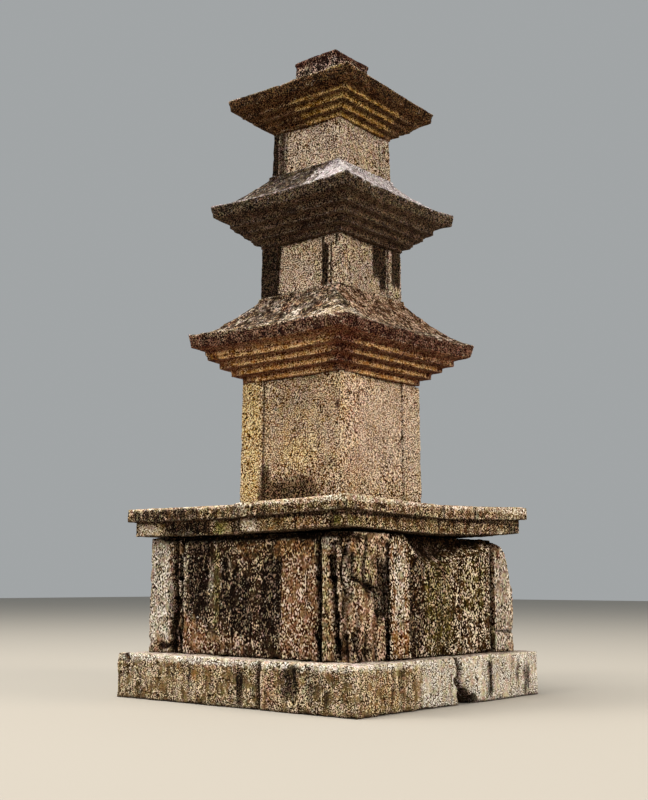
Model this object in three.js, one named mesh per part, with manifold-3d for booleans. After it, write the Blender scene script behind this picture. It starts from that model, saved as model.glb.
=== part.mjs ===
// Granite pagoda of three storeys on a single-tier platform, in millimetres, +Z up.
// The origin is on the ground at the middle of the foundation; the front looks along -Y and the right side along +X.
// Every solid is one real stone, and the stones stand on each other face to face.
import * as THREE from "three";
import { mergeVertices } from "three/addons/utils/BufferGeometryUtils.js";
import Module from "manifold-3d";

const wasm = await Module();
wasm.setup();

// Driving dimensions. A half is half the width of a square stone, and foot and top are its levels.
const beyond = 20; // what cuts a stone runs this far past its faces
const foundation = { half: 954, foot: 0, top: 275, joint: 6 };
// Where the bed stones meet on each side, measured along X or Y.
const foundationJoints = { front: 250, right: 20, back: -180, left: 60 };
// The back stone of the right joint has lost its lower arris: along the side, then up.
const foundationChip = [
  [-10, 150],
  [26, 150],
  [36, 110],
  [52, 72],
  [90, 46],
  [140, 34],
  [158, -10],
  [-10, -10],
];
const foundationChipDepth = 90;

const platform = { half: 829, foot: 275, top: 990, turn: -0.8, x: 12, y: 10 };
// Face widths of the corner pillars: along the face that runs left from the corner, and the one that runs right.
const pillarWidths = {
  frontLeft: { left: 270, right: 283 },
  frontRight: { left: 232, right: 338 },
  backRight: { left: 213, right: 260 },
  backLeft: { left: 270, right: 255 },
};
const panel = { thickness: 190, recess: 14, joint: 8 };
const frontGap = 20; // the panel has parted from the near pillar
const rightGap = 24; // and the right one as well
const coreClear = 12;
const bedding = 0.3; // thin bed under the capstones

// The right panel has lost its outer skin above a slanting break: along the face, then up.
const panelBreak = [
  [-372, 1010],
  [-331, 958],
  [-261, 905],
  [-190, 845],
  [-130, 790],
  [-60, 772],
  [120, 775],
  [240, 800],
  [400, 835],
  [530, 872],
  [640, 925],
  [640, 1010],
];
const panelBreakDepth = 120;
const panelBreakSlant = 1.2; // the broken face rises this much for each millimetre inward
// Below the break the face is spalled back to the right of a sound strip.
const panelSpall = { from: -262, to: 640, low: 240, high: 1010, depth: 16 };
// The top of the far right pillar is broken off: along the face, then up.
const pillarBreak = [
  [600, 1010],
  [600, 895],
  [650, 920],
  [700, 945],
  [745, 900],
  [790, 800],
  [812, 700],
  [840, 655],
  [900, 655],
  [900, 1010],
];
const pillarBreakDepth = 170;
const pillarBreakSlant = 0.4;
// A deep slanting crack down the front of the near pillar: along the face, then up.
const pillarCrack = [
  [668, 860],
  [684, 870],
  [700, 800],
  [722, 560],
  [742, 360],
  [736, 340],
  [722, 350],
  [700, 540],
  [678, 760],
];
const pillarCrackDepth = 38;

const capstone = {
  foot: 1000, // the seat on the rubble core
  bed: 600, // half width of the level bed
  mouldHalf: 883,
  mouldFoot: 1000,
  slabHalf: 922,
  slabFoot: 1092,
  rim: 1172,
  seatHalf: 452,
  shoulder: 1203,
  top: 1212,
  turn: -1.3,
  x: -8,
  y: -6,
  joint: 8,
};
const capstoneLiftPower = 1.4; // the rise starts far from the corner
const capstoneJoints = { front: 52, right: -18, back: 30, left: -40 };
// Each slab has settled on its own: how far its mouldings drop, and how far they rise to its corner.
const capstoneSet = {
  front_left: { drop: -8, lift: 7 },
  front_right: { drop: 0, lift: 20 },
  back_right: { drop: 0, lift: 32 },
  back_left: { drop: -2, lift: 16 },
};

// Relief is the depth of the field between the corner pillars, which are as wide as pillar says.
const bodies = [
  { name: "body_1", half: 422, topHalf: 416, foot: 1212, top: 2002, pillar: 190, relief: 13, turn: -0.3 },
  { name: "body_2", half: 335, topHalf: 332, foot: 2581, top: 2919, pillar: 140, relief: 12, turn: 0.1 },
  { name: "body_3", half: 288, topHalf: 280, foot: 3424, top: 3718, pillar: 115, relief: 10, turn: 1.8 },
];

// Steps widen from stepHalf by run at each of the four risers, up to the soffit of the eaves.
// The top slope is a hollow curve from the eaves to the seat: hollow is how far it sags below a straight line.
// Lift raises the corners, and lean is how much higher the eaves run for each millimetre along X and Y.
const roofs = [
  {
    name: "roof_1",
    foot: 2002,
    stepHalf: 430,
    run: 55,
    rise: 45,
    soffitHalf: 663,
    soffit: 2203,
    edgeHalf: 681,
    edge: 2291,
    seatHalf: 348,
    shoulder: 2553,
    top: 2581,
    hollow: 44,
    lift: 20,
    lean: [-0.024, -0.011],
    turn: -2.2,
  },
  {
    name: "roof_2",
    foot: 2919,
    stepHalf: 362,
    run: 50,
    rise: 41.5,
    soffitHalf: 569,
    soffit: 3106,
    edgeHalf: 584,
    edge: 3184,
    seatHalf: 303,
    shoulder: 3400,
    top: 3424,
    hollow: 36,
    lift: 18,
    lean: [0, 0],
    turn: 0.8,
  },
  {
    name: "roof_3",
    foot: 3718,
    stepHalf: 290,
    run: 49,
    rise: 33,
    soffitHalf: 492,
    soffit: 3862,
    edgeHalf: 508,
    edge: 3934,
    seatHalf: 210,
    shoulder: 4112,
    top: 4125,
    hollow: 26,
    lift: 4,
    lean: [0.008, -0.02],
    turn: 2.2,
  },
];
const roofSteps = 4;
const slopePoints = 6;
const liftPower = 3.2; // the corners of a roof lift only near their tips
const edgeSway = 1.3; // the top edge of the eaves lifts more than the soffit
const hollowSkew = 0.85; // the hollow is deepest toward the eaves
const roofSegments = 8; // along each side
// The near corner of the first roof is broken: a slanting plane through this point on its diagonal takes the tip off.
const tipBreak = { roof: "roof_1", corner: 655, level: 2262, steepness: 2, size: 200 };

const finialBase = {
  foot: 4125,
  half: 177,
  bandFoot: 4222,
  bandHalf: 183,
  bandSplay: 8,
  shoulder: 4248,
  topHalf: 168,
  top: 4260,
  turn: 0.2,
};

// Colours of the weathered granite, by where it stands.
const granite = (color, roughness) => new THREE.MeshStandardMaterial({ color, roughness, metalness: 0 });
const finishes = {
  foundation: () => granite(0x9a8f78, 0.92),
  pillar: () => granite(0x95897a, 0.9),
  panel: () => granite(0x6e5c48, 0.93),
  rubble: () => granite(0x4c443a, 0.97),
  capstone: () => granite(0x7d745d, 0.92),
  body: () => granite(0xa08d70, 0.9),
  roof: () => granite(0x5a5142, 0.94),
  finial: () => granite(0x6b5f57, 0.93),
};

const pagoda = new THREE.Group();
pagoda.name = "pagoda";

// A closed geometry as a solid that can be cut, with its doubled vertices merged and empty triangles dropped.
function solidOf(geometry) {
  const bare = geometry.clone();
  bare.deleteAttribute("normal");
  bare.deleteAttribute("uv");
  const merged = mergeVertices(bare, 0.01);
  const corners = merged.index.array;
  const triVerts = [];
  for (let i = 0; i < corners.length; i += 3) {
    const [a, b, c] = [corners[i], corners[i + 1], corners[i + 2]];
    if (a !== b && b !== c && c !== a) triVerts.push(a, b, c);
  }
  const vertProperties = merged.attributes.position.array;
  return new wasm.Manifold(
    new wasm.Mesh({ numProp: 3, vertProperties, triVerts: new Uint32Array(triVerts) }),
  );
}

// Names a solid and sets it in the pagoda, turned about its own upright axis.
function place(name, solid, material, { turn = 0, x = 0, y = 0 } = {}) {
  const { numProp, vertProperties, triVerts } = solid.getMesh();
  const points = new THREE.InterleavedBuffer(vertProperties, numProp);
  const geometry = new THREE.BufferGeometry();
  geometry.setAttribute("position", new THREE.InterleavedBufferAttribute(points, 3, 0));
  geometry.setIndex(new THREE.BufferAttribute(triVerts, 1));
  const faceted = geometry.toNonIndexed();
  faceted.computeVertexNormals();
  const stone = new THREE.Mesh(faceted, material);
  stone.name = name;
  stone.rotation.z = THREE.MathUtils.degToRad(turn);
  stone.position.set(x, y, 0);
  pagoda.add(stone);
}

const outlineOf = (points) => new THREE.Shape(points.map(([x, y]) => new THREE.Vector2(x, y)));

// An upright slab of the given plan between two levels.
function slab(plan, foot, top) {
  const form = new THREE.ExtrudeGeometry(outlineOf(plan), { depth: top - foot, bevelEnabled: false });
  return solidOf(form.translate(0, 0, foot));
}

const rectangle = (x0, x1, y0, y1) => [
  [x0, y0],
  [x1, y0],
  [x1, y1],
  [x0, y1],
];

const centre = new THREE.Vector2();

// A closed plan that repeats a run of corners on each of the four sides.
function fourfold(points) {
  const plan = [];
  for (let quarter = 0; quarter < 4; quarter++) {
    for (const [x, y] of points) {
      const corner = new THREE.Vector2(x, y).rotateAround(centre, (quarter * Math.PI) / 2);
      plan.push([corner.x, corner.y]);
    }
  }
  return plan;
}

// The four sides, each with the direction that runs left to right along it as seen from outside.
const sides = {
  front: new THREE.Vector3(1, 0, 0),
  right: new THREE.Vector3(0, 1, 0),
  back: new THREE.Vector3(-1, 0, 0),
  left: new THREE.Vector3(0, -1, 0),
};

const upward = new THREE.Vector3(0, 0, 1);

// A block drawn on a side, as points along it and up, that goes in from the given distance by a depth.
// With a slant it rises as it goes in.
function sideBlock(side, outline, outside, depth, slant = 0) {
  const form = new THREE.ExtrudeGeometry(outlineOf(outline), { depth, bevelEnabled: false });
  const outward = sides[side].clone().cross(upward);
  form.translate(0, 0, -depth);
  form.applyMatrix4(new THREE.Matrix4().makeShear(0, 0, 0, 0, 0, -slant));
  form.translate(0, 0, outside);
  form.applyMatrix4(new THREE.Matrix4().makeBasis(sides[side], upward, outward));
  return solidOf(form);
}

// A square form with the same profile on all sides. A profile point is a half width, a level and a sway, which is the
// share of the corner lift, the drop and the lean that the point takes.
function squareTurned(profile, segments, { lift = 0, drop = 0, lean = [0, 0], power = liftPower } = {}) {
  const points = profile.map(([half, level]) => new THREE.Vector2(half, level));
  const form = new THREE.LatheGeometry(points, 4 * segments);
  form.rotateX(Math.PI / 2);
  const position = form.attributes.position;
  for (let ring = 0; ring <= 4 * segments; ring++) {
    const side = Math.floor(ring / segments) % 4;
    const along = (2 * (ring % segments)) / segments - 1;
    const corner = Math.abs(along) ** power;
    const direction = new THREE.Vector2(1, along).rotateAround(centre, (side * Math.PI) / 2);
    profile.forEach(([half, level, sway = 0], i) => {
      const x = half * direction.x;
      const y = half * direction.y;
      const settled = lift * corner + drop + lean[0] * x + lean[1] * y;
      position.setXYZ(ring * profile.length + i, x, y, level + sway * settled);
    });
  }
  return solidOf(form);
}

// Foundation: four bed stones laid around the middle.
function buildFoundation() {
  const { half, foot, top, joint } = foundation;
  const { front, right, back, left } = foundationJoints;
  const gap = joint / 2;
  const frontLeft = [
    [-half, -half],
    [front - gap, -half],
    [front - gap, right - gap],
    [back - gap, right - gap],
    [back - gap, left - gap],
    [-half, left - gap],
  ];
  const chip = sideBlock("right", foundationChip, half + beyond, foundationChipDepth + beyond);
  const stones = {
    front_left: slab(frontLeft, foot, top),
    front_right: slab(rectangle(front + gap, half, -half, right - gap), foot, top),
    back_right: slab(rectangle(back + gap, half, right + gap, half), foot, top).subtract(chip),
    back_left: slab(rectangle(-half, back - gap, left + gap, half), foot, top),
  };
  for (const [where, stone] of Object.entries(stones)) place(`foundation_${where}`, stone, finishes.foundation());
}

// Platform: corner pillars with panels between them, around a rubble core.
function buildPlatform() {
  const { half, foot, top, turn, x, y } = platform;
  const set = { turn, x, y };
  const { frontLeft, frontRight, backRight, backLeft } = pillarWidths;
  const crack = sideBlock("front", pillarCrack, half + beyond, pillarCrackDepth + beyond);
  const topBreak = sideBlock("right", pillarBreak, half, pillarBreakDepth, pillarBreakSlant);
  const pillars = {
    front_left: slab(rectangle(-half, -half + frontLeft.right, -half, -half + frontLeft.left), foot, top),
    front_right: slab(
      rectangle(half - frontRight.left, half, -half, -half + frontRight.right),
      foot,
      top,
    ).subtract(crack),
    back_right: slab(
      rectangle(half - backRight.right, half, half - backRight.left, half),
      foot,
      top,
    ).subtract(topBreak),
    back_left: slab(rectangle(-half, -half + backLeft.left, half - backLeft.right, half), foot, top),
  };
  for (const [where, stone] of Object.entries(pillars)) {
    place(`platform_pillar_${where}`, stone, finishes.pillar(), set);
  }

  // Each panel runs from the pillar at its left to the one at its right, as seen from outside.
  const spans = {
    front: [-half + frontLeft.right + panel.joint, half - frontRight.left - frontGap],
    right: [-half + frontRight.right + rightGap, half - backRight.left - panel.joint],
    back: [-half + backRight.right + panel.joint, half - backLeft.left - panel.joint],
    left: [-half + backLeft.right + panel.joint, half - frontLeft.left - panel.joint],
  };
  const face = half - panel.recess;
  for (const [side, [from, to]] of Object.entries(spans)) {
    let stone = sideBlock(side, rectangle(from, to, foot, top), face, panel.thickness);
    if (side === "right") {
      const { from: left, to: right, low, high, depth } = panelSpall;
      stone = stone
        .subtract(sideBlock(side, panelBreak, half, panelBreakDepth, panelBreakSlant))
        .subtract(sideBlock(side, rectangle(left, right, low, high), half, panel.recess + depth));
    }
    place(`platform_panel_${side}`, stone, finishes.panel(), set);
  }

  // The core is packed rubble: a cross in plan, because it fills the space between the four pillars.
  const reach = face - panel.thickness - coreClear;
  const widest = Math.max(...Object.values(pillarWidths).flatMap(({ left, right }) => [left, right]));
  const arm = half - widest - coreClear;
  const cross = fourfold([
    [arm, -reach],
    [arm, -arm],
    [reach, -arm],
  ]);
  place("rubble_core", slab(cross, foot, capstone.foot - bedding), finishes.rubble(), set);
}

// Capstones: four quarters of one moulded square, each settled on its own.
function buildCapstones() {
  const { foot, bed, mouldHalf, mouldFoot, slabHalf, slabFoot, rim, seatHalf, shoulder, top, joint } = capstone;
  const profile = [
    [0, foot],
    [bed, foot],
    [mouldHalf, mouldFoot, 1],
    [mouldHalf, slabFoot, 1],
    [slabHalf, slabFoot, 1],
    [slabHalf, rim, 1],
    [seatHalf, shoulder],
    [seatHalf, top],
    [0, top],
  ];
  const { front, right, back, left } = capstoneJoints;
  const gap = joint / 2;
  const reach = slabHalf + beyond;
  const frontLeft = [
    [-reach, -reach],
    [front - gap, -reach],
    [front - gap, right - gap],
    [back - gap, right - gap],
    [back - gap, left - gap],
    [-reach, left - gap],
  ];
  const plans = {
    front_left: frontLeft,
    front_right: rectangle(front + gap, reach, -reach, right - gap),
    back_right: rectangle(back + gap, reach, right + gap, reach),
    back_left: rectangle(-reach, back - gap, left + gap, reach),
  };
  for (const [where, plan] of Object.entries(plans)) {
    const whole = squareTurned(profile, roofSegments, { ...capstoneSet[where], power: capstoneLiftPower });
    const quarter = whole.intersect(slab(plan, foot - beyond, top + beyond));
    place(`capstone_${where}`, quarter, finishes.capstone(), capstone);
  }
}

// A storey's body: one block that narrows upward, with its corner pillars standing in low relief.
function buildBody({ name, half, topHalf, foot, top, pillar, relief, turn }) {
  const inner = half - pillar;
  const field = half - relief;
  const plan = fourfold([
    [-half, -half],
    [-inner, -half],
    [-inner, -field],
    [inner, -field],
    [inner, -half],
  ]);
  const form = new THREE.ExtrudeGeometry(outlineOf(plan), { depth: top - foot, bevelEnabled: false });
  form.translate(0, 0, foot);
  const position = form.attributes.position;
  for (let i = 0; i < position.count; i++) {
    const narrowing = position.getZ(i) > foot ? topHalf / half : 1;
    position.setX(i, position.getX(i) * narrowing);
    position.setY(i, position.getY(i) * narrowing);
  }
  place(name, solidOf(form), finishes.body(), { turn });
}

// A roof stone: a stepped underside, thick eaves with lifted corners, a hollow top slope and the next seat.
function buildRoof(roof) {
  const { name, foot, stepHalf, run, rise, soffitHalf, soffit, edgeHalf, edge } = roof;
  const { seatHalf, shoulder, top, hollow, lift, lean, turn } = roof;
  const profile = [[0, foot]];
  for (let step = 0; step < roofSteps; step++) {
    const half = stepHalf + step * run;
    const sway = (step / roofSteps) ** 2;
    const swayAbove = ((step + 1) / roofSteps) ** 2;
    profile.push([half, foot + step * rise, sway], [half, foot + (step + 1) * rise, swayAbove]);
  }
  profile.push([soffitHalf, soffit, 1], [edgeHalf, edge, edgeSway]);
  for (let i = 1; i < slopePoints; i++) {
    const share = i / slopePoints;
    const half = THREE.MathUtils.lerp(edgeHalf, seatHalf, share);
    const level = THREE.MathUtils.lerp(edge, shoulder, share) - hollow * Math.sin(Math.PI * share ** hollowSkew);
    profile.push([half, level, edgeSway * (1 - share)]);
  }
  profile.push([seatHalf, shoulder], [seatHalf, top], [0, top]);
  let stone = squareTurned(profile, roofSegments, { lift, lean });
  if (name === tipBreak.roof) {
    const { corner, level, steepness, size } = tipBreak;
    const outward = new THREE.Vector3(1, -1, steepness).normalize();
    const tip = new THREE.BoxGeometry(2 * size, 2 * size, size);
    tip.translate(0, 0, size / 2);
    tip.applyQuaternion(new THREE.Quaternion().setFromUnitVectors(upward, outward));
    tip.translate(corner, -corner, level);
    stone = stone.subtract(solidOf(tip));
  }
  place(name, stone, finishes.roof(), { turn });
}

function buildFinialBase() {
  const { foot, half, bandFoot, bandHalf, bandSplay, shoulder, topHalf, top, turn } = finialBase;
  const profile = [
    [0, foot],
    [half, foot],
    [half, bandFoot],
    [bandHalf, bandFoot + bandSplay],
    [bandHalf, shoulder],
    [topHalf, top],
    [0, top],
  ];
  place("finial_base", squareTurned(profile, 2), finishes.finial(), { turn });
}

buildFoundation();
buildPlatform();
buildCapstones();
bodies.forEach(buildBody);
roofs.forEach(buildRoof);
buildFinialBase();

export default pagoda;
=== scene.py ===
import itertools
import math

import bmesh
import bpy
import numpy as np
from mathutils import Euler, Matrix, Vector


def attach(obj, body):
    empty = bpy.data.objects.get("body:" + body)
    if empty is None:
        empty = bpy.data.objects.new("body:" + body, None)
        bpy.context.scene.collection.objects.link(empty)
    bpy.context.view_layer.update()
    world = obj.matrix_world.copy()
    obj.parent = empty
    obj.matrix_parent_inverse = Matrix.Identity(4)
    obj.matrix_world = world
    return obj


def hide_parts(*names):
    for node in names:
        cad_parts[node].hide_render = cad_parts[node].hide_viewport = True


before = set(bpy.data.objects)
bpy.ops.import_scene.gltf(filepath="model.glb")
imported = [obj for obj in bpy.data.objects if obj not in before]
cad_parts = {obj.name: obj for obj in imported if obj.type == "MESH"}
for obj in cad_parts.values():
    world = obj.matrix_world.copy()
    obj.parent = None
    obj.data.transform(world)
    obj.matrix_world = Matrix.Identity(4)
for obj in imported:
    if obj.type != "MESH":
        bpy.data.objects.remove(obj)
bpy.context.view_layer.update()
scene = bpy.context.scene

# The camera stands low and near one corner, as in the photograph
viewpoint = {
    "place": (4.8858, -5.9454, 0.7102),
    "turn": 39.78,  # degrees to the left of +Y
    "tilt": 8.83,  # degrees above level
    "roll": 0.14,
    "focal": 1176.1,  # in pixels of the 648 by 800 frame
    "longSide": 800,
    "sensor": 36.0,
}


def aimCamera():
    lens = bpy.data.cameras.new("camera")
    lens.sensor_width = viewpoint["sensor"]
    lens.lens = viewpoint["sensor"] * viewpoint["focal"] / viewpoint["longSide"]
    lens.clip_end = 200
    camera = bpy.data.objects.new("camera", lens)
    camera.location = viewpoint["place"]
    tilt, roll, turn = (math.radians(viewpoint[k]) for k in ("tilt", "roll", "turn"))
    level = Euler((math.pi / 2 + tilt, 0, turn)).to_matrix()
    camera.rotation_euler = (level @ Euler((0, 0, roll)).to_matrix()).to_euler()
    scene.collection.objects.link(camera)
    scene.camera = camera
    print("camera aimed")


aimCamera()

# Plain pale studio: a broad soft light overhead and a weaker one on each seen side
studio = {
    "sky": ("#eef3f5", 0.42),
    "floor": "#a8a39a",
    "lamps": [
        # name, place, aimed at, size, watts, colour
        ("overhead", (-2.0, -4.0, 18.0), (0, 0, 2), 10.0, 4500, "#fffaf2"),
        ("frontSide", (-8.0, -14.2, 7.5), (0, 0, 2), 6.0, 1050, "#fff1e0"),
        ("rightSide", (15.0, 3.5, 7.5), (0, 0, 2), 6.0, 1720, "#fff1e0"),
    ],
}


def linear(hexColour):
    channels = [int(hexColour[i:i + 2], 16) / 255 for i in (1, 3, 5)]
    curved = [c / 12.92 if c <= 0.04045 else ((c + 0.055) / 1.055) ** 2.4 for c in channels]
    return (*curved, 1)


# Adds a node: an input is a plain value, another node's first output, or one of its other outputs
def addNode(tree, kind, inputs=None, **settings):
    node = tree.nodes.new("ShaderNode" + kind)
    for name, value in settings.items():
        setattr(node, name, value)
    for name, value in (inputs or {}).items():
        if isinstance(value, bpy.types.Node):
            value = value.outputs[0]
        if isinstance(value, bpy.types.NodeSocket):
            tree.links.new(value, node.inputs[name])
        else:
            node.inputs[name].default_value = value
    return node


def lightStudio():
    scene.view_settings.view_transform = "Standard"
    world = bpy.data.worlds.new("studio")
    scene.world = world
    world.use_nodes = True
    colour, strength = studio["sky"]
    sky = world.node_tree.nodes["Background"]
    sky.inputs["Color"].default_value = linear(colour)
    sky.inputs["Strength"].default_value = strength
    for name, place, aim, size, watts, colour in studio["lamps"]:
        lamp = bpy.data.lights.new(name, "AREA")
        lamp.shape = "SQUARE"
        lamp.size = size
        lamp.energy = watts
        lamp.color = linear(colour)[:3]
        holder = bpy.data.objects.new(name, lamp)
        holder.location = place
        holder.visible_camera = False
        holder.rotation_euler = (Vector(aim) - Vector(place)).to_track_quat("-Z", "Y").to_euler()
        scene.collection.objects.link(holder)
    bm = bmesh.new()
    bmesh.ops.create_grid(bm, x_segments=1, y_segments=1, size=40)
    mesh = bpy.data.meshes.new("studioFloor")
    bm.to_mesh(mesh)
    bm.free()
    floor = bpy.data.objects.new("studioFloor", mesh)
    scene.collection.objects.link(floor)
    paint = bpy.data.materials.new("matt floor paint")
    paint.use_nodes = True
    shader = paint.node_tree.nodes["Principled BSDF"]
    shader.inputs["Base Color"].default_value = linear(studio["floor"])
    shader.inputs["Roughness"].default_value = 0.9
    mesh.materials.append(paint)
    print("studio lit")


lightStudio()


# A repeatable random number, 0 to 1, for each cell of a grid; the large factors scatter
# what neighbouring cells get
def hashed(cells, seed):
    x, y, z = cells.T
    mix = (x * 73856093) ^ (y * 19349663) ^ (z * 83492791) ^ (seed * 26544357)
    mix = (mix ^ (mix >> 13)) * 12741261
    mix = (mix ^ (mix >> 17)) * 39916801
    return ((mix ^ (mix >> 15)) & 0xFFFFFF) / 0xFFFFFF


# A smooth random field, about -1 to 1, with lumps of the given width in metres, or of a
# width for each axis
def lumps(spots, width, seed, octaves=1):
    shift = 7.31  # each seed and octave lies this many cells off the last
    total = np.zeros(len(spots))
    share = 1.0
    scale = np.ones(3) * width
    for octave in range(octaves):
        scaled = spots / scale + shift * (seed + octave)
        cell = np.floor(scaled).astype(np.int64)
        part = scaled - cell
        part = part * part * (3 - 2 * part)
        field = np.zeros(len(spots))
        for corner in itertools.product((0, 1), repeat=3):
            weight = np.prod(np.where(corner, part, 1 - part), axis=1)
            field += weight * hashed(cell + corner, seed + 31 * octave)
        total += share * (2 * field - 1)
        share *= 0.5
        scale = scale * 0.5
    return total


# Rises smoothly from 0 at low to 1 at high, which may lie either way round
def ramp(values, low, high):
    t = np.clip((values - low) / (high - low), 0, 1)
    return t * t * (3 - 2 * t)


# The way to the right along each side, seen from outside, and the way out of it
sideWays = {
    "front": ((1, 0), (0, -1)),
    "right": ((0, 1), (1, 0)),
    "back": ((-1, 0), (0, 1)),
    "left": ((0, -1), (-1, 0)),
}


# A stone's vertices as arrays, with what the weathering needs to know of each
class Surface:
    def __init__(self, mesh):
        self.mesh = mesh
        self.spots = np.zeros(len(mesh.vertices) * 3)
        mesh.vertices.foreach_get("co", self.spots)
        self.spots = self.spots.reshape(-1, 3)
        self.edges = np.zeros(len(mesh.edges) * 2, dtype=np.int64)
        mesh.edges.foreach_get("vertices", self.edges)
        self.edges = self.edges.reshape(-1, 2)
        self.degree = np.bincount(self.edges.ravel(), minlength=len(self.spots))[:, None]
        self.readNormals()

    def readNormals(self):
        normals = np.zeros(len(self.mesh.vertices) * 3)
        self.mesh.vertices.foreach_get("normal", normals)
        self.normals = normals.reshape(-1, 3)

    def store(self):
        self.mesh.vertices.foreach_set("co", self.spots.ravel())
        self.mesh.update()
        self.readNormals()

    # Moves each spot along its normal, outwards where the amount is positive
    def push(self, amount):
        self.spots += self.normals * amount[:, None]

    # Averages values over each spot's neighbours
    def relaxed(self, values, rounds):
        a, b = self.edges.T
        for _ in range(rounds):
            count, axes = values.shape
            sums = [
                np.bincount(a, values[b, k], count) + np.bincount(b, values[a, k], count)
                for k in range(axes)
            ]
            values = np.stack(sums, axis=1) / self.degree
        return values

    # How far each spot stands out of its surroundings
    def proud(self, rounds):
        return ((self.spots - self.relaxed(self.spots, rounds)) * self.normals).sum(1)

    # The place along a side, the level, and how squarely each spot faces out of that side
    def onSide(self, side):
        along, out = (np.array(way) for way in sideWays[side])
        return self.spots[:, :2] @ along, self.spots[:, 2], self.normals[:, :2] @ out

    # Each spot's reach towards an upright corner, along X and along Y
    def towards(self, signX, signY):
        return np.stack([signX * self.spots[:, 0], signY * self.spots[:, 1]], axis=1)

    # 1 between two levels, and 0 a little past them
    def between(self, low, high):
        level = self.spots[:, 2]
        soft = 0.01
        return ramp(level, low - soft, low + soft) * ramp(level, high + soft, high - soft)

    # Keeps values, 0 to 1, as an attribute that the material reads
    def paint(self, name, values):
        layer = self.mesh.attributes.new(name, "FLOAT", "POINT")
        layer.data.foreach_set("value", np.clip(values, 0, 1).astype(np.float32))


weld = 0.00002  # metres within which the corners of a CAD face are one


# A node's stone as a fine closed mesh with its arrises worn round
def roughOut(node, look):
    bm = bmesh.new()
    bm.from_mesh(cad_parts[node].data)
    bmesh.ops.remove_doubles(bm, verts=bm.verts, dist=weld)
    mesh = bpy.data.meshes.new(node + "_plain")
    bm.to_mesh(mesh)
    bm.free()
    piece = bpy.data.objects.new(node + "_stone", mesh)
    scene.collection.objects.link(piece)
    bpy.context.view_layer.update()
    span = max(piece.dimensions)
    remesh = piece.modifiers.new("even mesh", "REMESH")
    remesh.mode = "SHARP"
    smooth = piece.modifiers.new("worn arrises", "SMOOTH")
    smooth.factor = 0.5
    smooth.iterations = look["wear"]
    for stretch in (1.0, 1.01, 1.02, 1.03, 1.04):  # another grid, where one leaves a hole
        cell = look["voxel"] * stretch  # the modifier halves its span until cells are this small
        remesh.octree_depth = math.ceil(math.log2(span / (0.99 * cell)))
        remesh.scale = span / (cell * 2 ** remesh.octree_depth)
        graph = bpy.context.evaluated_depsgraph_get()
        fine = bpy.data.meshes.new_from_object(piece.evaluated_get(graph))
        bm = bmesh.new()
        bm.from_mesh(fine)
        closed = all(wornEdgeAndHighlight.is_manifold for wornEdgeAndHighlight in bm.edges)
        bm.free()
        if closed:
            break
    piece.modifiers.clear()
    piece.data = fine
    bpy.data.meshes.remove(mesh)
    fine.name = node + "_stone"
    fine.polygons.foreach_set("use_smooth", [True] * len(fine.polygons))
    return piece


groove = {
    "sway": 0.22,  # how far its line wanders, as a share of its width
    "swayLength": 0.05,
    "rim": 0.5,  # of its width, from the middle to where its sides begin
    "bed": 0.26,  # and to where they end
    "darkRim": 1.8,  # how soon its sides get painted shade
    "darkDepth": 0.02,  # where this deep it has as much painted shade as it gets
}


# Grooves, cracks and lost flakes: side, one end, other end, width, depth; with a negative
# depth it stands proud. Gives back painted shade where they are cut in, 0 to 1, darker where
# deeper.
def carve(surface, rows, seed):
    shaded = np.zeros(len(surface.spots))
    for side, start, end, width, depth in rows:
        along, level, facing = surface.onSide(side)
        spots = np.stack([along, level], axis=1)
        run = np.array(end) - np.array(start)
        share = np.clip((spots - start) @ run / (run @ run), 0, 1)
        gap = np.linalg.norm(spots - start - share[:, None] * run, axis=1)
        gap += groove["sway"] * width * lumps(surface.spots, groove["swayLength"], seed, 2)
        cut = ramp(gap, groove["rim"] * width, groove["bed"] * width) * ramp(facing, 0.1, 0.4)
        surface.spots[:, :2] -= depth * cut[:, None] * np.array(sideWays[side][1])
        # Painted shade in the groove, darker where it is deeper
        grooveShade = np.clip(groove["darkRim"] * cut, 0, 1)
        grooveShade = grooveShade * np.clip(depth / groove["darkDepth"], 0, 1)
        shaded = np.maximum(shaded, grooveShade)
    surface.store()
    return shaded


# Corners worn back or lifted: which corner, from and to which level, how far in and how far down
def wearCorners(surface, rows):
    for (signX, signY), low, high, inward, down in rows:
        across = surface.towards(signX, signY)
        near = ramp(across.min(1) / np.maximum(across.max(1), 0.001), 0.8, 1.0)
        near *= surface.between(low, high)
        surface.spots -= near[:, None] * np.array([signX * inward, signY * inward, down])
    surface.store()


# Widths of the weathering in metres; a look says how deep it goes
weathering = {
    "uneven": 0.16,
    "nibble": 0.06,
    "grit": 0.026,
    "pits": 0.035,
}


# Weathering common to all stones: uneven dressing, nibbled arrises, grit and pits
def weather(surface, look, seed):
    surface.push(lumps(surface.spots, weathering["uneven"], seed, 3) * look["uneven"])
    sharp = ramp(surface.proud(8) / look["voxel"], 0.2, 0.9)
    bites = lumps(surface.spots, weathering["nibble"], seed + 5, 2)
    surface.push(-look["nibble"] * sharp * ramp(bites, 0.1, 0.9))
    surface.push(look["grit"] * lumps(surface.spots, weathering["grit"], seed + 9, 2))
    holes = lumps(surface.spots, weathering["pits"], seed + 13)
    surface.push(-look["pits"] * ramp(holes, 0.5, 0.95))
    surface.spots[:, 2] = np.maximum(surface.spots[:, 2], 0)  # the foot lies flat on the ground
    surface.store()


# Where a pillar's outer corner has split away along the bed of the stone
splitStones = {
    "platform_pillar_front_right": {
        "corner": (0.83, -0.83),
        "reach": (0.085, 0.3),  # along the front and along the right side
        "levels": (0.27, 0.985),
        "rounding": 0.045,
        "ribs": 0.02,
        "ribSize": (0.05, 0.05, 0.5),
        "creaseSize": (0.09, 0.09, 0.35),
        "wave": 0.012,  # how far the break's borders stray
        "waveSize": (0.5, 0.5, 0.12),
    },
}


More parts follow.
